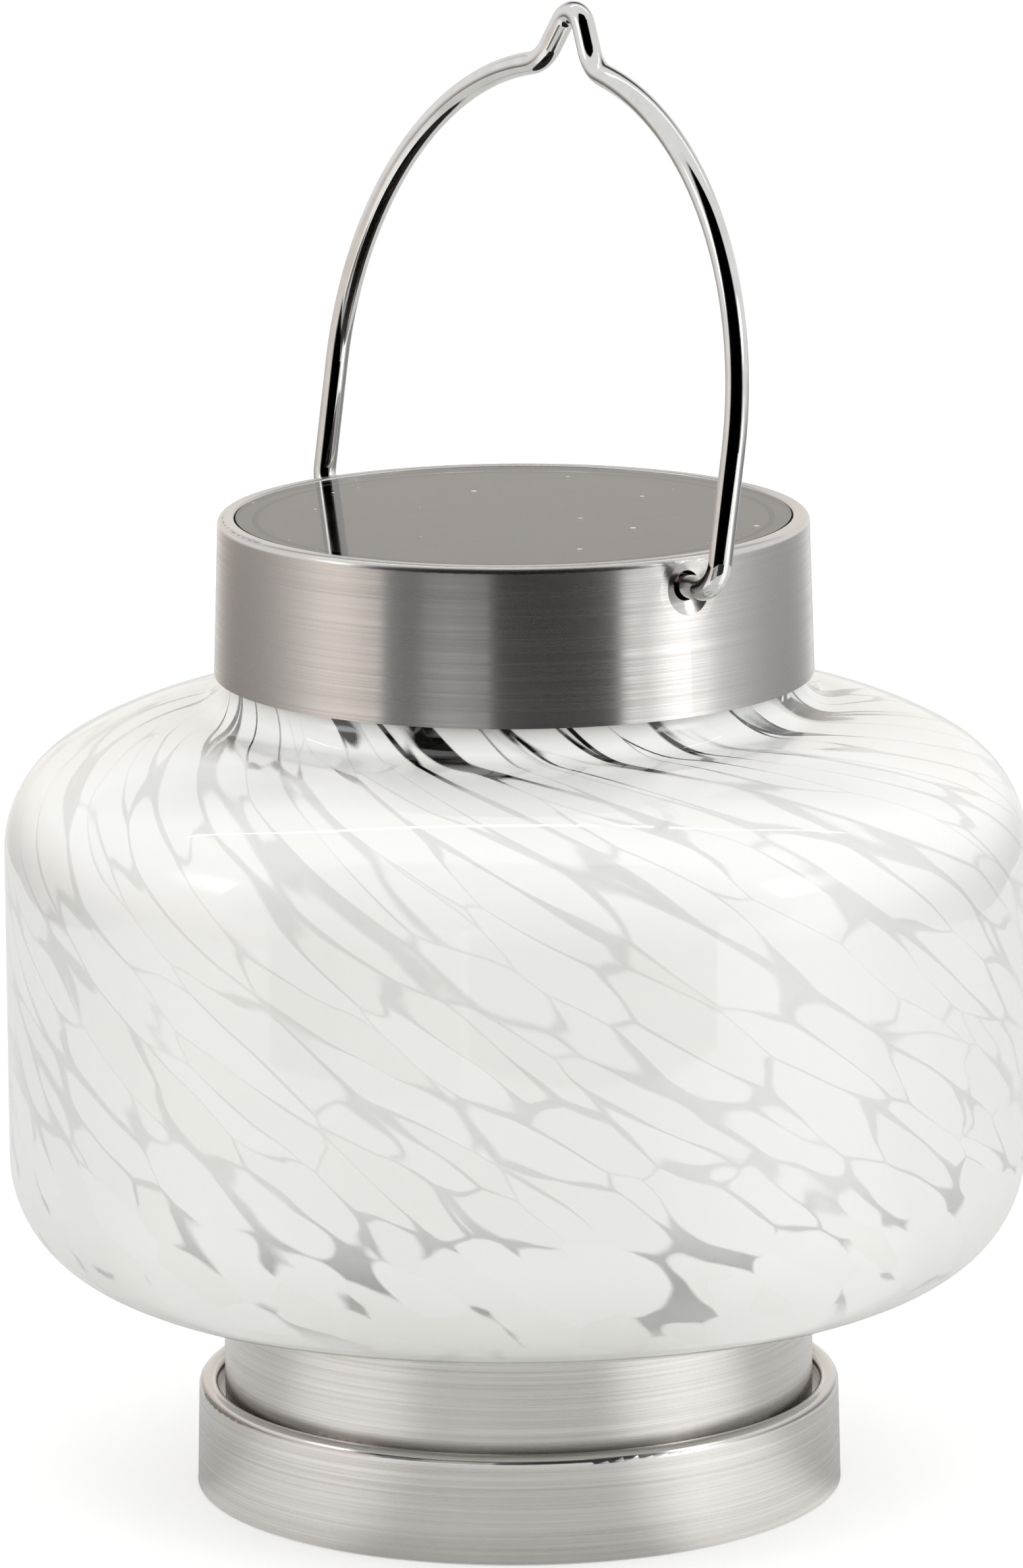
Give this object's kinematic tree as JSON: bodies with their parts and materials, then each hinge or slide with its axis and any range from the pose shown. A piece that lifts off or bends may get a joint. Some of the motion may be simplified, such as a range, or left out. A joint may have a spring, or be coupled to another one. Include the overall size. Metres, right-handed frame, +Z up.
{
  "type": "solar lantern",
  "caption": "Squat solar lantern: white flecked glass shade on a round steel foot, with a screw-on steel cap holding a solar panel and lamp, and a hinged wire bail with a hook peak.",
  "frame": {"origin": "on the floor under the middle of the foot", "axes": "+Z up the lantern's axis; the bail's pivots lie along X, and the bail leans towards +Y at rest"},
  "size_m": [0.14, 0.14, 0.2048],
  "materials": {
    "frit_glass": "blown clear glass with white glass chips melted on",
    "brushed_steel": "stainless sheet, brushed round",
    "polished_wire": "bright drawn wire, plated",
    "steel_fastener": "plain zinc plated",
    "black_abs": "black moulded plastic",
    "black_rubber": "moulded rubber",
    "clear_silicone": "milky silicone",
    "clear_cover": "clear polished cover",
    "solar_silicon": "dark thin film cells",
    "board_laminate": "green glass laminate",
    "frosted_lens": "frosted clear plastic",
    "led_epoxy": "clear epoxy",
    "battery_wrap": "shrink sleeve",
    "spring_brass": "plated strip",
    "red_lead": "stranded lead",
    "black_lead": "stranded lead"
  },
  "bodies": {
    "vessel": {"glass_shade": "frit_glass", "neck_ring": "black_abs", "seat_gasket": "clear_silicone", "base_collar": "brushed_steel", "base_drum": "brushed_steel", "base_screws": "steel_fastener", "base_nuts": "steel_fastener", "base_cover": "black_abs", "foot_pads": "black_rubber"},
    "seal": {"lid_seal": "clear_silicone"},
    "cap": {"cap_shell": "brushed_steel", "cap_liner": "black_abs", "panel_gasket": "black_rubber", "panel_cover": "clear_cover", "solar_cells": "solar_silicon", "panel_board": "black_abs", "lamp_housing": "black_abs", "circuit_board": "board_laminate", "board_screws": "steel_fastener", "led_lamp": "led_epoxy", "led_lens": "frosted_lens", "switch_body": "black_abs", "battery_cell": "battery_wrap", "battery_tab": "spring_brass", "battery_leaf": "spring_brass", "panel_lead_red": "red_lead", "panel_lead_black": "black_lead", "battery_lead_red": "red_lead", "battery_lead_black": "black_lead"},
    "bail": {"bail_handle": "polished_wire"},
    "switch": {"switch_button": "black_abs"},
    "door": {"battery_door": "black_abs"}
  },
  "joints": [
    {"name": "cap_rise", "type": "slide", "parent": "vessel", "child": "seal", "axis": [0, 0, 1], "range_m": [0, 0.00801]},
    {"name": "cap_turn", "type": "hinge", "parent": "seal", "child": "cap", "pos_m": [0, 0, 0.1276], "axis": [0, 0, 1], "range_deg": [0, 720]},
    {"name": "bail_swing", "type": "hinge", "parent": "cap", "child": "bail", "pos_m": [0, 0, 0.13161], "axis": [1, 0, 0], "range_deg": [-103.1, 119.9]},
    {"name": "switch_slide", "type": "slide", "parent": "cap", "child": "switch", "axis": [1, 0, 0], "range_m": [0, 0.002]},
    {"name": "door_hinge", "type": "hinge", "parent": "cap", "child": "door", "pos_m": [0, -0.0059, 0.10721], "axis": [1, 0, 0], "range_deg": [0, 95]}
  ],
  "couplings": [
    {"joint": "cap_rise", "follows": "cap_turn", "m_per_rad": 0.00063662}
  ]
}
